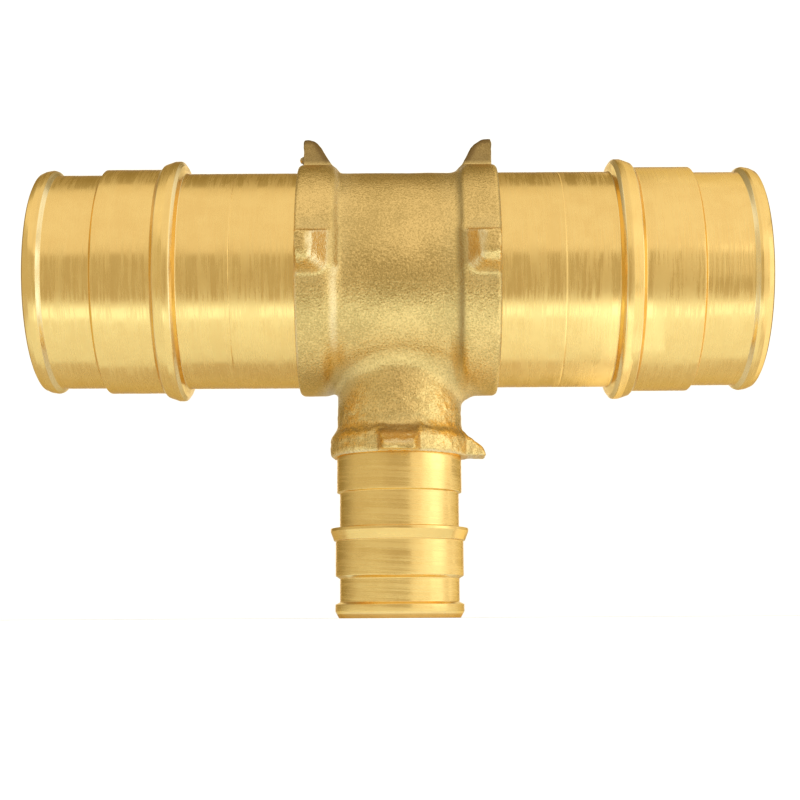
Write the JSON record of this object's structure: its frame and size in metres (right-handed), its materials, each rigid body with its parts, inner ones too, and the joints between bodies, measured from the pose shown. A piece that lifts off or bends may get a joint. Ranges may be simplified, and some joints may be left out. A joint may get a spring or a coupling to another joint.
{
  "type": "pex reducing tee",
  "caption": "Cast brass reducing tee with turned, barbed ends for cold-expansion plastic tube, its smaller branch square to a straight run.",
  "frame": {"origin": "where the run's and the branch's centre lines cross", "axes": "+X along the run, from the left end to the right; -Z down the branch; the picture looks along +Y"},
  "size_m": [0.0778, 0.0316, 0.0527],
  "materials": {
    "brass": "turned bright on the barbed ends, shot-blasted and matt on the casting"
  },
  "bodies": {
    "root": {"reducing_tee": "brass"}
  },
  "joints": []
}
